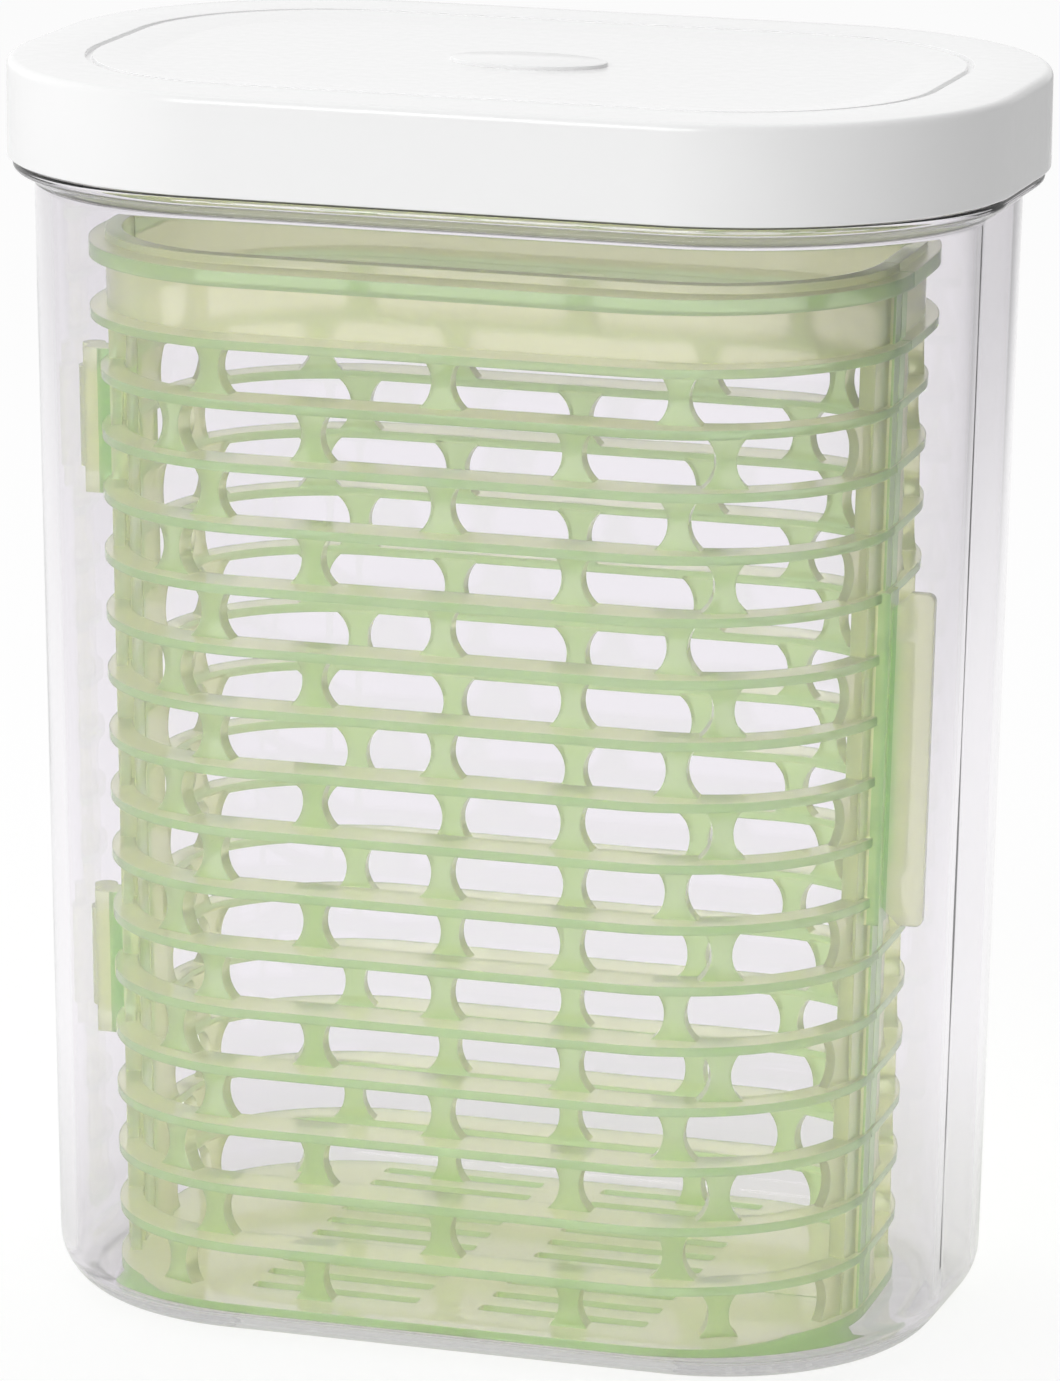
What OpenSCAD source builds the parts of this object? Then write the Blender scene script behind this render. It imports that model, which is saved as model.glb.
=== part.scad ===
// Produce keeper: a clear drafted container, a push-on lid with a soft seal, and a slatted basket in two
// halves that lifts out and opens on a hinge like a book.
// Millimetres, +Z up. The origin lies under the middle of the base and the wide face looks along -Y.

/* [Overall] */
// Height of the keeper with its lid on
total_h = 205; // [170:1:235]
// Width of the container just under the lid
body_w = 157; // [140:1:180]
// Depth of the container just under the lid
body_d = 102; // [94:1:120]
// Plan radius of the container's corners just under the lid
body_r = 41.5; // [34:0.5:44]
// How far each wall leans in from the lid down to the base
body_draft = 3.6; // [2:0.1:5]

/* [Container] */
// Thickness of the walls
wall_t = 2.5; // [1.8:0.1:3]
// Thickness of the floor
floor_t = 3; // [2:0.1:5]
// Radius of the outer edge of the base
base_edge_r = 9.4; // [6:0.2:11]
// Radius of the inner edge of the floor
floor_edge_r = 4; // [2:0.2:5]
// Thickness of the shoulder flange under the lid
flange_t = 1.6; // [1:0.1:2.4]
// Radius of the hollow under the shoulder flange
flange_fillet_r = 2.8; // [1:0.1:3.2]
// How far the shoulder flange stays inside the lid's outline
flange_inset = 0.9; // [0.6:0.1:1.2]

/* [Lid] */
// How far the lid stands out beyond the container wall
lid_overhang = 4.3; // [3.6:0.1:6]
// Height of the lid's skirt
skirt_h = 15.9; // [12:0.1:20]
// Thickness of the skirt
skirt_t = 2.2; // [1.6:0.1:2.6]
// Thickness of the lid's top
lid_top_t = 2.4; // [2:0.1:3.2]
// Radius of the lid's upper edge
lid_edge_r = 1.4; // [0.6:0.1:2]
// Width of the raised border round the top panel
lid_border = 13; // [8:0.5:18]
// Depth of the top panel below its border
panel_depth = 0.7; // [0.3:0.1:1]
// Length of the bare oval place on the top
oval_l = 26; // [16:1:40]
// Width of the bare oval place on the top
oval_w = 15; // [8:1:20]
// Height of the oval place above the panel
oval_h = 0.6; // [0.3:0.1:0.8]
// Depth of the plug ring inside the neck
plug_h = 9; // [7:0.5:12]
// Thickness of the plug ring
plug_t = 2; // [1.6:0.1:3]
// Gap from the plug ring to the neck, which the seal bridges
plug_gap = 1.6; // [1.2:0.1:2]
// Depth of the seal's groove in the plug ring
groove_depth = 0.9; // [0.6:0.1:1.2]
// Height of the seal's groove
groove_h = 3.2; // [2.4:0.1:4]
// Height of the plug ring below the groove
groove_foot = 2.2; // [1.5:0.1:3]

/* [Basket] */
// How far the basket sits left of centre, to leave room for the finger tab
basket_shift = 1.6; // [0:0.1:3]
// Distance from the container's centre to the plane where the halves meet
split_back = 9; // [5:0.5:12]
// Height from one fin to the next
row_pitch = 10; // [9:0.1:11]
// Number of window rows
rows = 16; // [12:2:16]
// Thickness of a fin
fin_t = 1.5; // [1.2:0.1:2]
// Gap from the ordinary fins to the container's front wall
fin_gap = 4; // [3:0.1:6]
// How far the rim and the ring below it stand out beyond the ordinary fins
ring_extra = 1.5; // [0.5:0.1:1.8]
// How far the posts stand behind the fin edges at the front
post_setback = 5; // [3:0.1:6]
// How far the end walls stand behind the fin edges
end_setback = 0.9; // [0.6:0.1:2]
// Thickness of the posts and walls
basket_t = 2.8; // [2:0.1:3.2]
// Half width of the basket over its ordinary fins
basket_half_w = 66.4; // [63:0.2:67]
// Height of the rim bead
rim_t = 2.5; // [2:0.1:4]
// Height of the lip above the rim bead
lip_h = 1.3; // [0.5:0.1:3]
// Thickness of the basket floor
base_t = 2; // [1.6:0.1:3]
// Width of the slots in the basket floor
slot_w = 3; // [2:0.1:4]
// Distance between the slots in the basket floor
slot_pitch = 7.5; // [6:0.1:9]
// Depth of the ribs beside the split
rib_d = 3.5; // [2.5:0.1:5]
// How far the ribs beside the split stand behind the fin edges
rib_inset = 0.3; // [0.2:0.1:0.5]

/* [Windows] */
// Width of a post at its waist
post_waist = 3.2; // [2.4:0.1:4.5]
// Width of a post where it meets the fins
post_w = 7.4; // [6:0.1:9]
// Radius of the rounded window ends
scoop_r = 5.5; // [5:0.1:7]
// Distance between posts in the rows with a middle post
wide_pitch = 38.8; // [36:0.2:42]
// Distance from the middle to the inner posts of the other rows
near_post = 21.6; // [18:0.2:24]
// Posts on the corners in the other rows, measured along the wall from its middle
corner_post = 46.2; // [43:0.2:48]
// Posts in the back half's corners in the rows with a middle post, measured along the wall from its middle
deep_post = 73; // [70:0.5:76]
// Posts in the back half's corners in the other rows, measured along the wall from its middle
deep_near_post = 68; // [65:0.5:71]
// Width of the closed strip beside the split, measured along the wall
strip_w = 8.4; // [7:0.2:10]
// How far the half posts on the strip stand back from its faces
half_post_inset = 0.5; // [0.4:0.1:0.8]

/* [Hinge and latch] */
// Height of the middle of the lower hinge
hinge_low_z = 52.5; // [40:0.5:60]
// Height of the middle of the upper hinge
hinge_high_z = 143.8; // [125:0.5:150]
// Height of a hinge bracket
bracket_h = 24; // [18:0.5:28]
// Height of the knuckle between the bracket's ears
knuckle_h = 16.6; // [12:0.2:18]
// Radius of the knuckle
knuckle_r = 2.9; // [2.4:0.1:3]
// Radius of the hinge pin
pin_r = 1.25; // [1:0.05:1.4]
// Radial clearance of the pin in the knuckle
pin_clear = 0.05; // [0.02:0.01:0.1]
// Distance from the fin edges to the hinge axis
hinge_out = 4.2; // [3.8:0.1:4.4]
// Radius of the bracket's ears
ear_r = 2.1; // [1.8:0.1:2.4]
// Thickness of the bracket's plate
plate_t = 1.8; // [1.4:0.1:2]
// Thickness of the web that joins a knuckle to the back half
web_t = 3.9; // [3:0.1:5]
// Height of the finger tab
tab_h = 54.6; // [40:0.2:60]
// Height of the middle of the finger tab
tab_z = 97.8; // [85:0.1:110]
// How far the finger tab stands out beyond the fins
tab_out = 7.4; // [5:0.1:8]
// Thickness of the finger tab
tab_t = 1.8; // [1.4:0.1:2.4]
// Radius of the finger tab's outer corners
tab_edge_r = 1.2; // [0.6:0.1:1.6]
// How far the bar beside the finger tab stands out
bar_out = 1; // [0.6:0.1:1.6]

/* [Clearances] */
// Clearance between pieces that move apart
move_gap = 0.4; // [0.3:0.05:0.6]
// Gap from the container's floor to the basket
floor_gap = 0.5; // [0.4:0.1:1]

/* [Hidden] */
$fn = 96;
// Depth that touching features reach into each other so that they fuse
bite = 0.4;
// How far a cut reaches past what it cuts
over = 1;
// How far the fins stop short of the inner face of the basket wall
sill = 0.15;
// How far a rounded edge is set past its faces, so that it crosses them cleanly
slip = 0.01;

// Lean of the walls, and where the corners of the container and lid turn
lean = body_draft / (total_h - skirt_h);
lean_angle = atan(lean);
corner_x = body_w / 2 - body_r;
corner_y = body_d / 2 - body_r;

// Heights and radii at the neck
skirt_z = total_h - skirt_h;
lid_r = body_r + lid_overhang;
lid_under_z = total_h - lid_top_t;
rim_z = lid_under_z - move_gap;
flange_low_z = skirt_z - move_gap - flange_t;
flange_r = lid_r - flange_inset;
plug_low_z = lid_under_z - plug_h;
plug_r = inner_at(skirt_z) - plug_gap;
groove_z = plug_low_z + groove_foot;
seal_r = inner_at(groove_z) - move_gap;

// Place and heights of the basket, and the plane where its halves meet
basket_x = -basket_shift;
split_y = -split_back;
base_z = floor_t + floor_gap;
ring_z = base_z + rows * row_pitch;
bead_z = ring_z + row_pitch;
basket_top_z = bead_z + rim_t + lip_h;
window_h = row_pitch - fin_t;

// Corner spacing of the fins and of the walls, both centred on basket_x
fin_corner_x = hundredth(basket_half_w - fin_r(ring_z));
wall_corner_x = hundredth(basket_half_w - end_setback - post_r(ring_z));

// Hinge and latch: where their roots lie inside the end wall, and the bracket's ears and plate
root_in = end_setback + basket_t / 2;
ear_h = (bracket_h - knuckle_h) / 2 - move_gap;
plate_y = knuckle_r + move_gap;

// Rounds a spacing, so that swept corners and sides meet exactly
function hundredth(x) = round(100 * x) / 100;

// Plan radius of the container's outer and inner wall at height z
function body_at(z) = body_r - lean * (skirt_z - z);
function inner_at(z) = body_at(z) - wall_t;

// Plan radius of the ordinary fins and of the basket wall at height z, which follow the container's lean
function fin_r(z) = corner_y + inner_at(z) - fin_gap - split_back;
function post_r(z) = fin_r(z) - post_setback;

// Distance from the basket's middle to the fin edge at its ends, at height z
function end_x(z) = fin_corner_x + fin_r(z);

// A list of distances on both sides of the middle
function both_sides(list) = concat([for (x = list) -x], list);

// Post positions in row i along the wall of one half: every second row has a post in the middle
function posts(i, deep) = i % 2 == 1
    ? concat([0], both_sides(deep ? [wide_pitch, deep_post] : [wide_pitch]))
    : both_sides(deep ? [near_post, corner_post, deep_near_post] : [near_post, corner_post]);

// Sweeps a profile (outward, up) round one quarter of a corner; quarter 0 lies at +X +Y
module corner_sweep(half_x, half_y, quarter) {
    side_x = quarter == 0 || quarter == 3 ? 1 : -1;
    side_y = quarter < 2 ? 1 : -1;
    translate([side_x * half_x, side_y * half_y, 0])
        rotate([0, 0, quarter * 90])
            rotate_extrude(angle = 90)
                children();
}

// Sweeps a profile straight along the side that faces the given direction, between two positions
module side_sweep(reach, facing, from, to) {
    rotate([0, 0, facing])
        translate([reach, to, 0])
            rotate([90, 0, 0])
                linear_extrude(height = to - from)
                    children();
}

// Sweeps a profile all the way round a rounded rectangle
module loop_sweep(half_x, half_y) {
    for (quarter = [0:3])
        corner_sweep(half_x, half_y, quarter) children();
    for (facing = [0, 180])
        side_sweep(half_x, facing, -half_y, half_y) children();
    for (facing = [90, 270])
        side_sweep(half_y, facing, -half_x, half_x) children();
}

// Fills the middle of a rounded rectangle between two heights
module core_fill(half_x, half_y, low, high) {
    translate([-half_x, -half_y, low])
        cube([2 * half_x, 2 * half_y, high - low]);
}

// Rounded rectangle in plan
module rounded_plan(half_x, half_y, r) {
    square([2 * half_x, 2 * (half_y + r)], center = true);
    square([2 * (half_x + r), 2 * half_y], center = true);
    for (side_x = [-1, 1], side_y = [-1, 1])
        translate([side_x * half_x, side_y * half_y])
            circle(r);
}

// Outer edge of the base, taken off the profile: tangent to the floor and to the leaning wall
module base_edge() {
    low_r = body_at(0);
    reach = base_edge_r / tan(45 + lean_angle / 2);
    touch = [low_r + reach * sin(lean_angle), reach * cos(lean_angle)];
    middle = [low_r - reach, base_edge_r];
    difference() {
        polygon([[middle[0], -over], [low_r + over, -over], [low_r + over, touch[1]], touch, middle]);
        translate(middle + [slip, -slip]) circle(base_edge_r);
    }
}

// Inner edge of the floor, added to the profile
module floor_edge() {
    corner = [inner_at(floor_t), floor_t];
    difference() {
        translate([corner[0] - floor_edge_r, corner[1] - bite])
            square([floor_edge_r + bite, floor_edge_r + bite]);
        translate([corner[0] - floor_edge_r, corner[1] + floor_edge_r])
            circle(floor_edge_r);
    }
}

// Shoulder flange that the lid's skirt stands above, with a hollow below it
module flange_profile() {
    wall_r = body_at(flange_low_z - flange_fillet_r);
    translate([wall_r - bite, flange_low_z])
        square([flange_r - flange_t / 2 - wall_r + bite, flange_t]);
    translate([flange_r - flange_t / 2, flange_low_z + flange_t / 2])
        circle(flange_t / 2);
    difference() {
        translate([wall_r - bite, flange_low_z - flange_fillet_r])
            square([flange_fillet_r + bite, flange_fillet_r + bite]);
        translate([wall_r + flange_fillet_r, flange_low_z - flange_fillet_r])
            circle(flange_fillet_r);
    }
}

module container_profile() {
    lip_r = wall_t / 2;
    difference() {
        union() {
            square([body_at(0) - bite, floor_t]);
            polygon([
                [inner_at(0), 0],
                [body_at(0), 0],
                [body_at(rim_z - lip_r), rim_z - lip_r],
                [inner_at(rim_z - lip_r), rim_z - lip_r]
            ]);
            translate([inner_at(rim_z - lip_r) + lip_r, rim_z - lip_r])
                circle(lip_r);
            floor_edge();
            flange_profile();
        }
        base_edge();
    }
}

module container() {
    color([0.86, 0.87, 0.9, 0.35]) {
        loop_sweep(corner_x, corner_y) container_profile();
        core_fill(corner_x, corner_y, 0, floor_t);
    }
}

module lid_profile() {
    panel_r = lid_r - lid_border;
    difference() {
        union() {
            translate([0, lid_under_z])
                square([lid_r - lid_edge_r, lid_top_t]);
            translate([lid_r - skirt_t, skirt_z])
                square([skirt_t, skirt_h - lid_edge_r]);
            translate([lid_r - lid_edge_r, total_h - lid_edge_r])
                circle(lid_edge_r);
            translate([plug_r - plug_t, plug_low_z])
                square([plug_t, plug_h + bite]);
        }
        polygon([
            [-over, total_h - panel_depth],
            [panel_r - panel_depth, total_h - panel_depth],
            [panel_r + over, total_h + over],
            [-over, total_h + over]
        ]);
        translate([plug_r - groove_depth, groove_z])
            square([groove_depth + over, groove_h]);
    }
}

// Oval of four arcs: two wide ones that cross, blunted by a rounded end piece
module oval_plan() {
    bow_r = (oval_l * oval_l + oval_w * oval_w) / (4 * oval_w);
    end_r = oval_w / 3;
    intersection() {
        translate([0, bow_r - oval_w / 2]) circle(bow_r);
        translate([0, oval_w / 2 - bow_r]) circle(bow_r);
        rounded_plan(oval_l / 2 - over - end_r, bite, end_r + over);
    }
}

module lid() {
    color([0.96, 0.96, 0.96]) {
        loop_sweep(corner_x, corner_y) lid_profile();
        core_fill(corner_x, corner_y, lid_under_z, total_h - panel_depth);
        translate([0, 0, total_h - panel_depth - bite])
            linear_extrude(height = oval_h + bite)
                oval_plan();
    }
}

// Seal with a foot in the plug's groove and two lips towards the neck
module gasket_profile() {
    foot_r = plug_r - groove_depth;
    lip_t = groove_h / 4;
    waist_r = plug_r + groove_depth / 3;
    top_z = groove_z + groove_h;
    polygon([
        [foot_r, groove_z],
        [waist_r, groove_z],
        [seal_r, groove_z + lip_t / 2],
        [seal_r, groove_z + lip_t],
        [waist_r, groove_z + 1.5 * lip_t],
        [waist_r, top_z - 1.5 * lip_t],
        [seal_r, top_z - lip_t],
        [seal_r, top_z - lip_t / 2],
        [waist_r, top_z],
        [foot_r, top_z]
    ]);
}

module lid_gasket() {
    color([0.85, 0.87, 0.84])
        loop_sweep(corner_x, corner_y) gasket_profile();
}

// Leaning wall of the basket as a profile, between two heights
module basket_wall_profile(low_z, high_z) {
    polygon([
        [post_r(low_z) - basket_t, low_z],
        [post_r(low_z), low_z],
        [post_r(high_z), high_z],
        [post_r(high_z) - basket_t, high_z]
    ]);
}

// The wall below the ring starts inside the floor, and both walls end inside the ring
module lower_wall_profile() {
    basket_wall_profile(base_z + base_t / 2, ring_z + fin_t / 3);
}

module upper_wall_profile() {
    basket_wall_profile(ring_z + 2 * fin_t / 3, basket_top_z);
}

// Outline of a post between two fins, scooped out on the given sides
module post_plan(scoops) {
    difference() {
        square([post_w, window_h + 2 * bite], center = true);
        for (side = scoops)
            translate([side * (post_waist / 2 + scoop_r), 0])
                circle(scoop_r);
    }
}

// One post in the thickness of the wall, set back from both of its faces by the inset
module wall_post(inset, scoops) {
    translate([0, basket_t - inset, 0])
        rotate([90, 0, 0])
            linear_extrude(height = basket_t - 2 * inset)
                post_plan(scoops);
}

// Places children on the wall's outer face: along the front, round the corner, then along the end
module on_wall(along, z) {
    side = sign(along);
    arc = max(0, abs(along) - wall_corner_x);
    quarter_arc = post_r(z) * PI / 2;
    translate([side * min(abs(along), wall_corner_x), split_y, z])
        rotate([0, 0, side * min(90, arc / post_r(z) * 180 / PI)])
            translate([side * max(0, arc - quarter_arc), -post_r(z), 0])
                children();
}

// All posts of one half, whose wall runs on past the corner by end_run, and the half posts on its strips
module wall_posts(end_run) {
    for (i = [0:rows - 1]) {
        z = base_z + i * row_pitch + fin_t + window_h / 2;
        strip_end = wall_corner_x + post_r(z) * PI / 2 + end_run - strip_w;
        for (along = posts(i, end_run > 0))
            on_wall(along, z) wall_post(0, [-1, 1]);
        if (i % 2 == 0)
            for (side = [-1, 1])
                on_wall(side * (strip_end - post_waist / 2), z) wall_post(half_post_inset, [-side]);
    }
}

// Rounded front of one half: the posts between its windows, and the band above the ring
module half_shell(end_run) {
    for (quarter = [2, 3])
        corner_sweep(wall_corner_x, split_back, quarter) upper_wall_profile();
    side_sweep(split_back, 270, -wall_corner_x, wall_corner_x) upper_wall_profile();
    wall_posts(end_run);
}

// Closed strips of the front half beside the split, which start to turn with the corner
module corner_strips() {
    for (side = [0, 1])
        mirror([side, 0, 0])
            translate([wall_corner_x, split_y, 0])
                mirror([0, 1, 0])
                    rotate_extrude(angle = strip_w / post_r(ring_z) * 180 / PI)
                        lower_wall_profile();
}

// Straight ends of the back half: a closed strip beside the split, and the band above the ring
module end_walls(gap_y) {
    for (side = [0, 1])
        mirror([side, 0, 0]) {
            side_sweep(wall_corner_x, 0, gap_y, gap_y + strip_w) lower_wall_profile();
            side_sweep(wall_corner_x, 0, gap_y, split_back) upper_wall_profile();
        }
}

// Plan of the space that one half takes up, from the given Y towards +Y
module half_plan(low_y) {
    translate([-body_w / 2, low_y])
        square([body_w, body_d]);
}

// One fin ring in plan, inside the mask that is passed in
module fin_plan(z, extra) {
    intersection() {
        difference() {
            rounded_plan(fin_corner_x, split_back, fin_r(z) + extra);
            rounded_plan(wall_corner_x, split_back, post_r(z) - basket_t + sill);
        }
        children();
    }
}

// All fins of one half, bottom to top, with the bigger ring and the rim bead
module fins() {
    for (i = [1:rows - 1])
        translate([0, 0, base_z + i * row_pitch])
            linear_extrude(height = fin_t)
                fin_plan(base_z + i * row_pitch, 0) children();
    translate([0, 0, ring_z])
        linear_extrude(height = fin_t)
            fin_plan(ring_z, ring_extra) children();
    translate([0, 0, bead_z])
        linear_extrude(height = rim_t)
            fin_plan(bead_z, ring_extra) children();
}

// Slotted floor of one half, from the split to the given depth on one side, inside the mask that is passed in
module basket_floor(side_y, depth) {
    translate([0, 0, base_z])
        linear_extrude(height = base_t)
            difference() {
                intersection() {
                    rounded_plan(fin_corner_x, split_back, fin_r(base_z));
                    children();
                }
                for (row = [1:floor((depth - slot_w) / slot_pitch)])
                    for (side_x = [-1, 1])
                        translate([side_x * wide_pitch / 2, split_y + side_y * row * slot_pitch])
                            rounded_plan(wide_pitch / 2 - 2 * slot_w, slot_w / 4, slot_w / 4);
            }
}

// Thick strip along the end wall beside the split, from the floor to the rim bead
module split_rib(from, to) {
    low_z = base_z + base_t / 2;
    high_z = bead_z + rim_t / 2;
    translate([0, to, 0])
        rotate([90, 0, 0])
            linear_extrude(height = to - from)
                polygon([
                    [end_x(low_z) - root_in, low_z],
                    [end_x(low_z) - rib_inset, low_z],
                    [end_x(high_z) - rib_inset, high_z],
                    [end_x(high_z) - root_in, high_z]
                ]);
}

// Places children on the leaning hinge axis at height z
module at_hinge(z) {
    translate([-end_x(z) - hinge_out, split_y, z])
        rotate([0, -lean_angle, 0])
            children();
}

// Places children at the fin edge of the latch end, leaning with the wall
module at_latch() {
    translate([end_x(tab_z), split_y, tab_z])
        rotate([0, lean_angle, 0])
            children();
}

// Two ears round the hinge axis and a front plate that ends at it, with the pin between the ears
module hinge_bracket() {
    reach = hinge_out + root_in;
    for (side = [0, 1])
        mirror([0, 0, side])
            translate([0, 0, knuckle_h / 2 + move_gap]) {
                cylinder(r = ear_r, h = ear_h);
                translate([0, -plate_y - plate_t, 0])
                    cube([reach, plate_y + plate_t, ear_h]);
            }
    translate([0, -plate_y - plate_t, -bracket_h / 2])
        cube([reach, plate_t, bracket_h]);
    cylinder(r = pin_r, h = knuckle_h + 2 * move_gap + 2 * bite, center = true);
}

// Knuckle moulded with the back half, round the pin
module hinge_knuckle() {
    reach = hinge_out + root_in;
    difference() {
        union() {
            cylinder(r = knuckle_r, h = knuckle_h, center = true);
            translate([-knuckle_r / 2, move_gap, -knuckle_h / 2])
                cube([reach + knuckle_r / 2, web_t, knuckle_h]);
        }
        cylinder(r = pin_r + pin_clear, h = knuckle_h + 2 * over, center = true);
    }
}

// Outline of the finger tab: splayed root, rounded outer corners
module tab_plan() {
    splay = tab_out / 2;
    polygon([
        [-root_in, splay - tab_h / 2],
        [0, splay - tab_h / 2],
        [splay, -tab_h / 2],
        [splay + bite, -tab_h / 2],
        [splay + bite, tab_h / 2],
        [splay, tab_h / 2],
        [0, tab_h / 2 - splay],
        [-root_in, tab_h / 2 - splay]
    ]);
    translate([(splay + tab_out) / 2, 0])
        rounded_plan((tab_out - splay) / 2 - tab_edge_r, tab_h / 2 - tab_edge_r, tab_edge_r);
    translate([splay, -tab_h / 2])
        square([tab_edge_r + bite, tab_h]);
}

module basket_back() {
    gap_y = split_y + move_gap;
    color([0.72, 0.82, 0.62, 0.8])
        translate([basket_x, 0, 0]) {
            mirror([0, 1, 0]) half_shell(2 * split_back - move_gap);
            end_walls(gap_y);
            fins() half_plan(gap_y);
            basket_floor(1, 2 * split_back + fin_r(base_z)) half_plan(gap_y);
            for (side = [0, 1])
                mirror([side, 0, 0])
                    split_rib(gap_y, gap_y + rib_d);
            for (z = [hinge_low_z, hinge_high_z])
                at_hinge(z) hinge_knuckle();
            at_latch()
                translate([-root_in, move_gap, -tab_h / 3])
                    cube([root_in + tab_out / 2, tab_t, 2 * tab_h / 3]);
        }
}

module basket_front() {
    color([0.72, 0.82, 0.62, 0.8])
        translate([basket_x, 0, 0]) {
            half_shell(0);
            corner_strips();
            fins() half_plan(split_y - body_d);
            basket_floor(-1, fin_r(base_z)) half_plan(split_y - body_d);
            for (side = [0, 1])
                mirror([side, 0, 0])
                    split_rib(split_y - rib_d, split_y);
            for (z = [hinge_low_z, hinge_high_z])
                at_hinge(z) hinge_bracket();
            at_latch() {
                translate([0, -tab_t, 0])
                    rotate([90, 0, 0])
                        linear_extrude(height = tab_t)
                            tab_plan();
                translate([-root_in, -rib_d - tab_t, -tab_h / 2])
                    cube([root_in + bar_out, rib_d + tab_t, tab_h]);
            }
        }
}

container();
lid();
lid_gasket();
basket_back();
basket_front();
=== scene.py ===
# Produce keeper: a clear container with a white push-on lid, and a slatted two-part basket inside it.
import bmesh
import bpy
import math
from mathutils import Matrix, Vector


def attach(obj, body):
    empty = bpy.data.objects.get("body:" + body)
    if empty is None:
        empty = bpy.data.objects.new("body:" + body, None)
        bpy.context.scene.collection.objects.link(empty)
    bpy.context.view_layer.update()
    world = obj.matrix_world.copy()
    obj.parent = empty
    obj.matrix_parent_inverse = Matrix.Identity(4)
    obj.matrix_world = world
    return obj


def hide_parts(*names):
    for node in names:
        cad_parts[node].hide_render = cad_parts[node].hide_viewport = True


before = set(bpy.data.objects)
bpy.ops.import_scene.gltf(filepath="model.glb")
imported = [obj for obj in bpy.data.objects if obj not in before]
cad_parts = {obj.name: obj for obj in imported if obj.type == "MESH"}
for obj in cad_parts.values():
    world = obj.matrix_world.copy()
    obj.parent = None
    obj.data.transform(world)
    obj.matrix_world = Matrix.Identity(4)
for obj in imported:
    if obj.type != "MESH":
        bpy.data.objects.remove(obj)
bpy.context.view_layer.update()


# Container: one injection moulding in clear plastic, a rounded box whose walls lean out towards the lid.
# Its base is heavy and round-edged, and a thin shoulder flange runs round it just under the lid's skirt.
mm = 0.001
corner_x = 37 * mm
corner_y = 9.5 * mm
weld_gap = 0.0005 * mm


def moulded_ring(name, profile, corner_steps=32, arc_steps=10):
    """Sweeps a profile of (outward, up, rounding) in mm round the keeper's plan, and closes its middle."""
    bm = bmesh.new()
    line = [bm.verts.new((corner_x + out * mm, corner_y, up * mm)) for out, up, rounding in profile]
    for a, b in zip(line, line[1:]):
        bm.edges.new((a, b))
    for vert, before, here, after in zip(line[1:], profile, profile[1:], profile[2:]):
        if here[2]:
            turn = (Vector(before[:2]) - Vector(here[:2])).angle(Vector(after[:2]) - Vector(here[:2]))
            bmesh.ops.bevel(
                bm, geom=[vert], offset=here[2] * mm / math.tan(turn / 2), offset_type="OFFSET",
                affect="VERTICES", segments=arc_steps, profile=0.5, material=-1,
            )
    last = bm.verts[:] + bm.edges[:]
    runs = (
        (1, 1, (-2 * corner_x, 0, 0)),
        (-1, 1, (0, -2 * corner_y, 0)),
        (-1, -1, (2 * corner_x, 0, 0)),
        (1, -1, (0, 2 * corner_y, 0)),
    )
    for side_x, side_y, run in runs:
        made = bmesh.ops.spin(
            bm, geom=last, cent=(side_x * corner_x, side_y * corner_y, 0), axis=(0, 0, 1), angle=math.pi / 2,
            steps=corner_steps, use_merge=False,
        )
        edges = [e for e in made["geom_last"] if isinstance(e, bmesh.types.BMEdge)]
        last = bmesh.ops.extrude_edge_only(bm, edges=edges)["geom"]
        last = [g for g in last if not isinstance(g, bmesh.types.BMFace)]
        bmesh.ops.translate(bm, vec=run, verts=[v for v in last if isinstance(v, bmesh.types.BMVert)])
    bmesh.ops.remove_doubles(bm, verts=bm.verts, dist=weld_gap)
    bmesh.ops.holes_fill(bm, edges=[e for e in bm.edges if e.is_boundary], sides=4)
    bmesh.ops.recalc_face_normals(bm, faces=bm.faces)
    mesh = bpy.data.meshes.new(name)
    bm.to_mesh(mesh)
    bm.free()
    piece = bpy.data.objects.new(name, mesh)
    bpy.context.scene.collection.objects.link(piece)
    return piece


def smooth_moulding(piece, angle):
    """Shades a moulding smooth, with sharp edges where it turns by more than the angle in degrees."""
    piece.data.shade_smooth()
    piece.data.set_sharp_from_angle(angle=math.radians(angle))


# Heights above the table, distances out from the corners' axes and roundings, in mm. The floor's rounding is
# a little tight, so that its facets stay clear of the basket at the hinge's limit.
floor_z = 3
flange_low = 187.1
flange_high = 188.7
mouth_z = 202.2
foot_out = 37.9
shoulder_out = 41.46
flange_out = 44.9
neck_out = 41.49
mouth_out = 41.75
mouth_in = 39.25
floor_in = 35.46
base_round = 9.4
shoulder_round = 2.8
flange_round = 0.75
neck_round = 0.3
lip_round = 1.2
floor_round = 3.9
clear_box = moulded_ring("clear_box", [
    (0, 0, 0),
    (foot_out, 0, base_round),
    (shoulder_out, flange_low, shoulder_round),
    (flange_out, flange_low, flange_round),
    (flange_out, flange_high, flange_round),
    (neck_out, flange_high, neck_round),
    (mouth_out, mouth_z, lip_round),
    (mouth_in, mouth_z, lip_round),
    (floor_in, floor_z, floor_round),
    (0, floor_z, 0),
])
smooth_moulding(clear_box, 50)
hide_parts("container")
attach(clear_box, "container")


def linear(code):
    """Linear colour with alpha from an sRGB hex code."""
    parts = [int(code[i:i + 2], 16) / 255 for i in (1, 3, 5)]
    return (*[c / 12.92 if c <= 0.04045 else ((c + 0.055) / 1.055) ** 2.4 for c in parts], 1)


def new_material(name):
    """A material with an empty node tree."""
    made = bpy.data.materials.new(name)
    made.use_nodes = True
    made.node_tree.nodes.clear()
    return made, made.node_tree


def add(tree, kind, inputs=None, **settings):
    """Adds one shader node, sets its settings and fills or links its inputs."""
    made = tree.nodes.new("ShaderNode" + kind)
    for key, value in settings.items():
        setattr(made, key, value)
    for key, value in (inputs or {}).items():
        if isinstance(value, bpy.types.NodeSocket):
            tree.links.new(value, made.inputs[key])
        else:
            made.inputs[key].default_value = value
    return made


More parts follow.
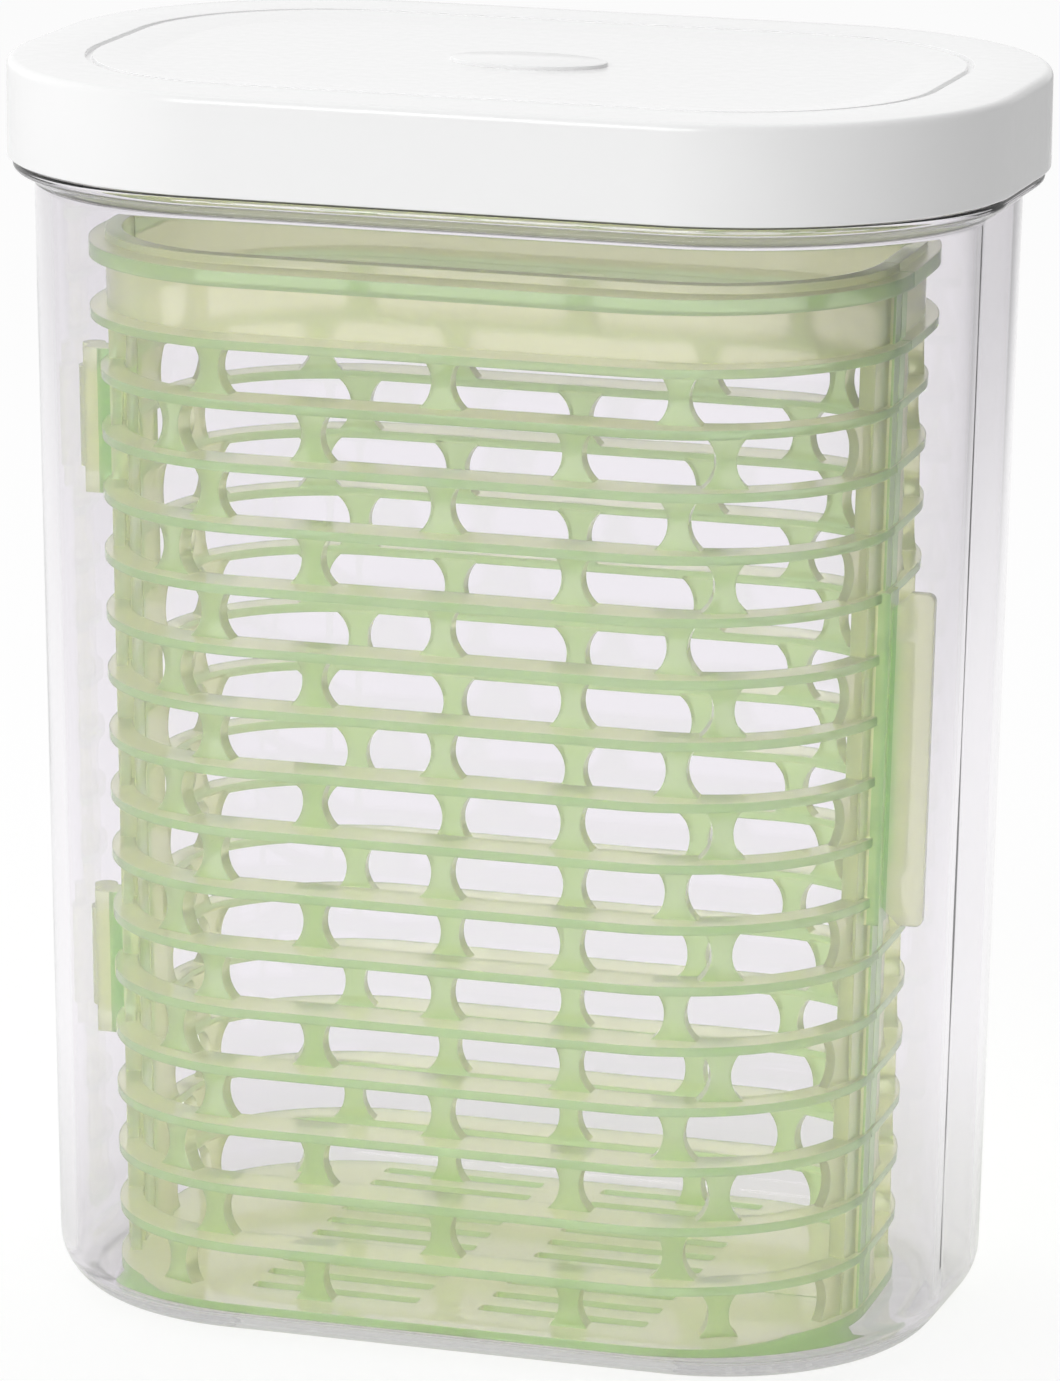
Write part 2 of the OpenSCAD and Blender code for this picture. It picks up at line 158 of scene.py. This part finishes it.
# Clear styrene plastic from a polished mould: sharp refraction, a faint cool tint where the wall is thick,
# flow waves about 40 mm long and a haze of handling marks about 3 mm across.
clear_styrene, tree = new_material("clear_styrene")
place = add(tree, "TexCoord").outputs["Object"]
waves = add(tree, "TexNoise", {"Vector": place, "Scale": 1 / (40 * mm), "Detail": 1})
marks = add(tree, "TexNoise", {"Vector": place, "Scale": 1 / (3 * mm), "Detail": 4})
haze = add(tree, "MapRange", {
    "Value": marks.outputs["Fac"], "From Min": 0.5, "From Max": 0.8, "To Min": 0.0, "To Max": 0.03,
})
flow = add(tree, "Bump", {"Height": waves.outputs["Fac"], "Strength": 0.2, "Distance": 0.2 * mm})
clear = add(tree, "BsdfPrincipled", {
    "Base Color": linear("#F7F5F8"), "IOR": 1.53, "Transmission Weight": 1,
    "Roughness": haze.outputs["Result"], "Normal": flow.outputs["Normal"],
})
lamp_light = add(tree, "BsdfTransparent", {"Color": (0.97, 0.97, 0.97, 1)})
ray = add(tree, "LightPath")
shown = add(tree, "MixShader", {
    0: ray.outputs["Is Shadow Ray"], 1: clear.outputs[0], 2: lamp_light.outputs[0],
})
add(tree, "OutputMaterial", {"Surface": shown.outputs[0]})
clear_box.data.materials.append(clear_styrene)


# Lid: an injection moulding in glossy white plastic with a skirt outside the neck and a plug ring inside it.
# Its top panel is slightly dished inside a fine groove line, with a low bare oval pad in the middle.
lid_top = 205
lid_under = 202.6
skirt_foot = 189.1
plug_foot = 193.6
panel_z = 204.3
groove_low = 195.8
groove_high = 199
skirt_out = 45.8
skirt_in = 43.6
plug_out = 37.4
plug_in = 35.4
groove_in = 36.5
dish_out = 24
panel_out = 32
panel_drop = 0.05
line_w = 1
line_draft = 0.1
line_in = panel_out + line_draft
line_out = line_in + line_w
dish_round = 20
fine_round = 0.1
top_round = 1.4
edge_round = 0.4
inner_round = 0.8
root_round = 0.3
white_lid = moulded_ring("white_lid", [
    (0, panel_z, 0),
    (dish_out, panel_z, dish_round),
    (panel_out, lid_top - panel_drop, fine_round),
    (line_in, panel_z, 0),
    (line_out, panel_z, 0),
    (line_out + line_draft, lid_top, fine_round),
    (skirt_out, lid_top, top_round),
    (skirt_out, skirt_foot, edge_round),
    (skirt_in, skirt_foot, edge_round),
    (skirt_in, lid_under, inner_round),
    (plug_out, lid_under, root_round),
    (plug_out, groove_high, 0),
    (groove_in, groove_high, 0),
    (groove_in, groove_low, 0),
    (plug_out, groove_low, 0),
    (plug_out, plug_foot, edge_round),
    (plug_in, plug_foot, edge_round),
    (plug_in, lid_under, inner_round),
    (0, lid_under, 0),
], arc_steps=6)

pad_l = 26 * mm
pad_w = 15 * mm
pad_top = 204.9 * mm
pad_root = 204 * mm
pad_round = 0.2 * mm
bm = bmesh.new()
oval = Matrix.Translation((0, 0, pad_root)) @ Matrix.Diagonal((pad_l / 2, pad_w / 2, 1, 1))
bmesh.ops.create_circle(bm, cap_ends=True, segments=96, radius=1, matrix=oval)
raised = bmesh.ops.extrude_face_region(bm, geom=bm.faces[:])["geom"]
bmesh.ops.translate(
    bm, vec=(0, 0, pad_top - pad_root), verts=[v for v in raised if isinstance(v, bmesh.types.BMVert)],
)
bmesh.ops.recalc_face_normals(bm, faces=bm.faces)
bmesh.ops.bevel(
    bm, geom=[e for e in raised if isinstance(e, bmesh.types.BMEdge)], offset=pad_round,
    offset_type="OFFSET", affect="EDGES", segments=3, profile=0.5, material=-1,
)
bm.from_mesh(white_lid.data)
bm.to_mesh(white_lid.data)
bm.free()
smooth_moulding(white_lid, 35)
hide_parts("lid")
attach(white_lid, "lid")

# White ABS from a polished mould: an even gloss that blurs reflections a little, with a faint skin of
# ripples about 2 mm across.
white_abs, tree = new_material("white_abs")
place = add(tree, "TexCoord").outputs["Object"]
skin = add(tree, "TexNoise", {"Vector": place, "Scale": 1 / (2 * mm), "Detail": 3})
sheen = add(tree, "MapRange", {"Value": skin.outputs["Fac"], "To Min": 0.16, "To Max": 0.26})
peel = add(tree, "Bump", {"Height": skin.outputs["Fac"], "Strength": 0.05, "Distance": 0.05 * mm})
white = add(tree, "BsdfPrincipled", {
    "Base Color": linear("#F4F4F4"), "IOR": 1.5, "Roughness": sheen.outputs["Result"],
    "Normal": peel.outputs["Normal"],
})
add(tree, "OutputMaterial", {"Surface": white.outputs[0]})
white_lid.data.materials.append(white_abs)


# Seal: a soft ring of moulded silicone with two lips, pushed into the groove of the lid's plug.
# It is the CAD node as packed.
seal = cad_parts["lid_gasket"]

# Cloudy silicone: milky and soft to the light, with a dusty bloom in patches of about 4 mm and a matt grain
# of about 0.5 mm.
cloudy_silicone, tree = new_material("cloudy_silicone")
place = add(tree, "TexCoord").outputs["Object"]
bloom = add(tree, "TexNoise", {"Vector": place, "Scale": 1 / (4 * mm), "Detail": 3})
milk = add(tree, "Mix", {
    0: bloom.outputs["Fac"], 6: linear("#D6DCD4"), 7: linear("#E4E7E1"),
}, data_type="RGBA")
dust = add(tree, "MapRange", {"Value": bloom.outputs["Fac"], "To Min": 0.42, "To Max": 0.62})
grain = add(tree, "TexNoise", {"Vector": place, "Scale": 1 / (0.5 * mm), "Detail": 2})
matt = add(tree, "Bump", {"Height": grain.outputs["Fac"], "Strength": 0.1, "Distance": 0.05 * mm})
soft = add(tree, "BsdfPrincipled", {
    "Base Color": milk.outputs[2], "IOR": 1.41, "Roughness": dust.outputs["Result"],
    "Normal": matt.outputs["Normal"], "Subsurface Weight": 0.4, "Subsurface Radius": (1, 1, 1),
    "Subsurface Scale": 1 * mm,
})
add(tree, "OutputMaterial", {"Surface": soft.outputs[0]})
seal.data.materials.clear()
seal.data.materials.append(cloudy_silicone)


# Basket: two mouldings in translucent pale green plastic with ring fins round waisted posts. They meet at a
# split near the front, turn on moulded pins at the left end and clip together behind a finger tab at the
# right.
basket_halves = [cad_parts["basket_back"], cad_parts["basket_front"]]
crease_angle = 25
for half in basket_halves:
    weld = half.modifiers.new("weld", "WELD")
    weld.merge_threshold = weld_gap
    half.data.shade_smooth()
    creases = half.modifiers.new("creases", "EDGE_SPLIT")
    creases.split_angle = math.radians(crease_angle)

# Places in the basket that the painted light-through colour follows: its offset to the left, the axes of the
# fins' corners, the fins' reach out from them at the foot, the walls' lean, a fin's edge, the ring above the
# top row of windows, and how far past the corners' axes the posts go.
basket_shift = 1.6 * mm
fin_corner = 31.39 * mm
wall_end = 9 * mm
fin_reach = 31.9 * mm
lean = 3.6 / 189.1
edge_middle = 0.7 * mm
edge_half = 1.2 * mm
ring_z = 163.5 * mm
post_field = 26 * mm

# Translucent polypropylene, glossy from the mould, with a grain of about 0.8 mm. Its pale tint is its own,
# but the split between cream and green is painted light, set by place and face direction: a warm cream on
# the thin band, the fins' level tops and the ends, and green on the posts' wide faces and the fins' upright
# edges, for light passing through short and long paths of plastic.
polypropylene, tree = new_material("translucent_polypropylene")
place = add(tree, "TexCoord").outputs["Object"]
spot = add(tree, "SeparateXYZ", {0: place})
across = add(tree, "Math", {0: spot.outputs["X"], 1: basket_shift}, operation="ADD")
across = add(tree, "Math", {0: across.outputs[0]}, operation="ABSOLUTE")
across = add(tree, "Math", {0: across.outputs[0], 1: fin_corner}, operation="SUBTRACT")
across = add(tree, "Math", {0: across.outputs[0], 1: 0}, operation="MAXIMUM")
along = add(tree, "Math", {0: spot.outputs["Y"]}, operation="ABSOLUTE")
along = add(tree, "Math", {0: along.outputs[0], 1: wall_end}, operation="SUBTRACT")
along = add(tree, "Math", {0: along.outputs[0], 1: 0}, operation="MAXIMUM")
plan = add(tree, "CombineXYZ", {0: across.outputs[0], 1: along.outputs[0]})
reach = add(tree, "VectorMath", {0: plan.outputs[0]}, operation="LENGTH")
fin_line = add(tree, "Math", {0: spot.outputs["Z"], 1: lean, 2: fin_reach}, operation="MULTIPLY_ADD")
out = add(tree, "Math", {0: reach.outputs["Value"], 1: fin_line.outputs[0]}, operation="SUBTRACT")
at_edge = add(tree, "Math", {0: out.outputs[0], 1: edge_middle, 2: edge_half}, operation="COMPARE")
facing = add(tree, "SeparateXYZ", {0: add(tree, "NewGeometry").outputs["True Normal"]})
level_face = add(tree, "Math", {0: facing.outputs["Z"]}, operation="ABSOLUTE")
upright = add(tree, "MapRange", {
    "Value": level_face.outputs[0], "From Min": 0.3, "From Max": 0.8, "To Min": 1, "To Max": 0,
})
fin_edge = add(tree, "Math", {0: at_edge.outputs[0], 1: upright.outputs["Result"]}, operation="MULTIPLY")
wide_face = add(tree, "Math", {0: facing.outputs["Y"]}, operation="ABSOLUTE")
wide_face = add(tree, "MapRange", {"Value": wide_face.outputs[0], "From Min": 0.5, "From Max": 0.8})
in_rows = add(tree, "Math", {0: spot.outputs["Z"], 1: ring_z}, operation="LESS_THAN")
off_ends = add(tree, "Math", {0: across.outputs[0], 1: post_field}, operation="LESS_THAN")
post_face = add(tree, "Math", {0: in_rows.outputs[0], 1: off_ends.outputs[0]}, operation="MULTIPLY")
post_face = add(tree, "Math", {
    0: post_face.outputs[0], 1: wide_face.outputs["Result"],
}, operation="MULTIPLY")
# Painted light: green on upright faces at the fins' edges and on the posts' wide faces, cream everywhere
# else.
painted_tint = add(tree, "Mix", {
    0: post_face.outputs[0], 6: linear("#FEFDDC"), 7: linear("#DAEDC0"),
}, data_type="RGBA")
painted_tint = add(tree, "Mix", {
    0: fin_edge.outputs[0], 6: painted_tint.outputs[2], 7: linear("#C8E9B4"),
}, data_type="RGBA")
grain = add(tree, "TexNoise", {"Vector": place, "Scale": 1 / (0.8 * mm), "Detail": 2})
sheen = add(tree, "MapRange", {"Value": grain.outputs["Fac"], "To Min": 0.06, "To Max": 0.14})
edge = add(tree, "Bevel", {"Radius": 0.4 * mm}, samples=4)
body = add(tree, "BsdfPrincipled", {
    "Base Color": painted_tint.outputs[2], "IOR": 1.49, "Roughness": sheen.outputs["Result"],
    "Normal": edge.outputs["Normal"], "Transmission Weight": 0.66,
    "Subsurface Weight": 1.0, "Subsurface Radius": (1.0, 1.0, 0.8), "Subsurface Scale": 6 * mm,
})
lamp_light = add(tree, "BsdfTransparent", {"Color": (0.99, 1.0, 0.96, 1)})
ray = add(tree, "LightPath")
shown = add(tree, "MixShader", {
    0: ray.outputs["Is Shadow Ray"], 1: body.outputs[0], 2: lamp_light.outputs[0],
})
depth = add(tree, "VolumeAbsorption", {"Color": (0.35, 0.85, 0.12, 1), "Density": 13})
add(tree, "OutputMaterial", {"Surface": shown.outputs[0], "Volume": depth.outputs[0]})
for half in basket_halves:
    half.data.materials.clear()
    half.data.materials.append(polypropylene)


# Stage: a white floor that keeps a soft shadow, in a white room that is dimmer to the right. The clear
# plastic sees the floor's own shade close by and darker cards to both sides, which draw its edges.
floor_half = 6
floor_mesh = bpy.data.meshes.new("floor")
bm = bmesh.new()
bmesh.ops.create_grid(bm, x_segments=1, y_segments=1, size=floor_half)
bm.to_mesh(floor_mesh)
bm.free()
floor = bpy.data.objects.new("floor", floor_mesh)
bpy.context.scene.collection.objects.link(floor)

white_glow = 1.07
glow_share = 0.75
to_the_right = (0.954, 0.299, 0)
floor_paint, tree = new_material("white_floor")
ray = add(tree, "LightPath")
place = add(tree, "TexCoord").outputs["Object"]
away = add(tree, "VectorMath", {0: place}, operation="LENGTH")
away = add(tree, "MapRange", {
    "Value": away.outputs["Value"], "From Min": 0.06, "From Max": 0.2, "To Min": 0.1, "To Max": glow_share,
}, interpolation_type="SMOOTHSTEP")
clear_view = add(tree, "Math", {
    0: ray.outputs["Is Glossy Ray"], 1: ray.outputs["Is Transmission Ray"],
}, operation="MAXIMUM")
share = add(tree, "Math", {0: clear_view.outputs[0], 1: away.outputs["Result"]}, operation="MULTIPLY")
share = add(tree, "Math", {
    0: ray.outputs["Is Camera Ray"], 1: glow_share, 2: share.outputs[0],
}, operation="MULTIPLY_ADD")
aside = add(tree, "VectorMath", {0: place, 1: to_the_right}, operation="DOT_PRODUCT")
right_card = add(tree, "MapRange", {
    "Value": aside.outputs["Value"], "From Min": 0.22, "From Max": 0.5,
    "To Min": white_glow, "To Max": 0.45,
}, interpolation_type="SMOOTHSTEP")
left_card = add(tree, "MapRange", {
    "Value": aside.outputs["Value"], "From Min": -0.6, "From Max": -0.22,
    "To Min": 0.85, "To Max": white_glow,
}, interpolation_type="SMOOTHSTEP")
cards = add(tree, "Math", {
    0: left_card.outputs["Result"], 1: right_card.outputs["Result"],
}, operation="MINIMUM")
level = add(tree, "Mix", {0: ray.outputs["Is Camera Ray"], 2: cards.outputs[0], 3: white_glow})
matt = add(tree, "BsdfDiffuse", {"Color": (0.85, 0.85, 0.85, 1)})
glow = add(tree, "Emission", {"Strength": level.outputs[0]})
shown = add(tree, "MixShader", {0: share.outputs[0], 1: matt.outputs[0], 2: glow.outputs[0]})
add(tree, "OutputMaterial", {"Surface": shown.outputs[0]})
floor.data.materials.append(floor_paint)

lit_side = (-0.7, 0.71, 0)
seen_side = (-0.6, 0.8, 0)
room = bpy.data.worlds.new("white_room")
bpy.context.scene.world = room
room.use_nodes = True
tree = room.node_tree
tree.nodes.clear()
ray = add(tree, "LightPath")
way = add(tree, "TexCoord").outputs["Generated"]
lit = add(tree, "VectorMath", {0: way, 1: lit_side}, operation="DOT_PRODUCT")
lit = add(tree, "MapRange", {
    "Value": lit.outputs["Value"], "From Min": -0.7, "From Max": 0.4, "To Min": 0.25, "To Max": 1.0,
}, interpolation_type="SMOOTHSTEP")
behind = add(tree, "VectorMath", {0: way, 1: seen_side}, operation="DOT_PRODUCT")
behind = add(tree, "MapRange", {
    "Value": behind.outputs["Value"], "From Min": 0.2, "From Max": 0.85, "To Min": 0.42, "To Max": 1.0,
}, interpolation_type="SMOOTHSTEP")
clear_view = add(tree, "Math", {
    0: ray.outputs["Is Glossy Ray"], 1: ray.outputs["Is Transmission Ray"],
}, operation="MAXIMUM")
level = add(tree, "Mix", {0: clear_view.outputs[0], 2: lit.outputs["Result"], 3: behind.outputs["Result"]})
level = add(tree, "Mix", {0: ray.outputs["Is Camera Ray"], 2: level.outputs[0], 3: 1.0})
light = add(tree, "Background", {"Color": (1, 1, 1, 1), "Strength": level.outputs[0]})
add(tree, "OutputWorld", {"Surface": light.outputs[0]})

aim = Vector((0, 0, 0.1))
lamps = (
    ("key", Vector((-0.4, -1.35, 0.98)), 0.9, 11),
    ("top", Vector((-0.2, 0.5, 1.5)), 1.0, 1.8),
)
for name, lamp_spot, size, watts in lamps:
    lamp = bpy.data.lights.new(name, "AREA")
    lamp.shape = "SQUARE"
    lamp.size = size
    lamp.energy = watts
    holder = bpy.data.objects.new(name, lamp)
    holder.location = lamp_spot
    holder.rotation_euler = (aim - lamp_spot).to_track_quat("-Z", "Y").to_euler()
    bpy.context.scene.collection.objects.link(holder)

# Camera: a long lens a little above and to the right of the front, turned as the photograph is.
azimuth = math.radians(17.421)
elevation = math.radians(13.268)
roll = math.radians(0.485)
distance = 1.26077
middle = Vector((0, 0, 0.1025))
level_back = Vector((math.sin(azimuth), -math.cos(azimuth), 0))
back = level_back * math.cos(elevation) + Vector((0, 0, math.sin(elevation)))
level_right = Vector((math.cos(azimuth), math.sin(azimuth), 0))
level_up = back.cross(level_right)
right = level_right * math.cos(roll) + level_up * math.sin(roll)
up = level_up * math.cos(roll) - level_right * math.sin(roll)
lens = bpy.data.cameras.new("camera")
lens.sensor_width = 36
lens.lens = 201.06
lens.shift_x = 0.00446
lens.shift_y = -0.00752
camera = bpy.data.objects.new("camera", lens)
turned = Matrix((right, up, back)).transposed().to_4x4()
camera.matrix_world = Matrix.Translation(middle + back * distance) @ turned
bpy.context.scene.collection.objects.link(camera)
bpy.context.scene.camera = camera
bpy.context.scene.view_settings.view_transform = "Standard"

# Light crosses many clear and milky walls here, so it may bounce further than by default.
cycles = bpy.context.scene.cycles
cycles.max_bounces = 20
cycles.diffuse_bounces = 6
cycles.glossy_bounces = 6
cycles.transmission_bounces = 20
cycles.transparent_max_bounces = 32
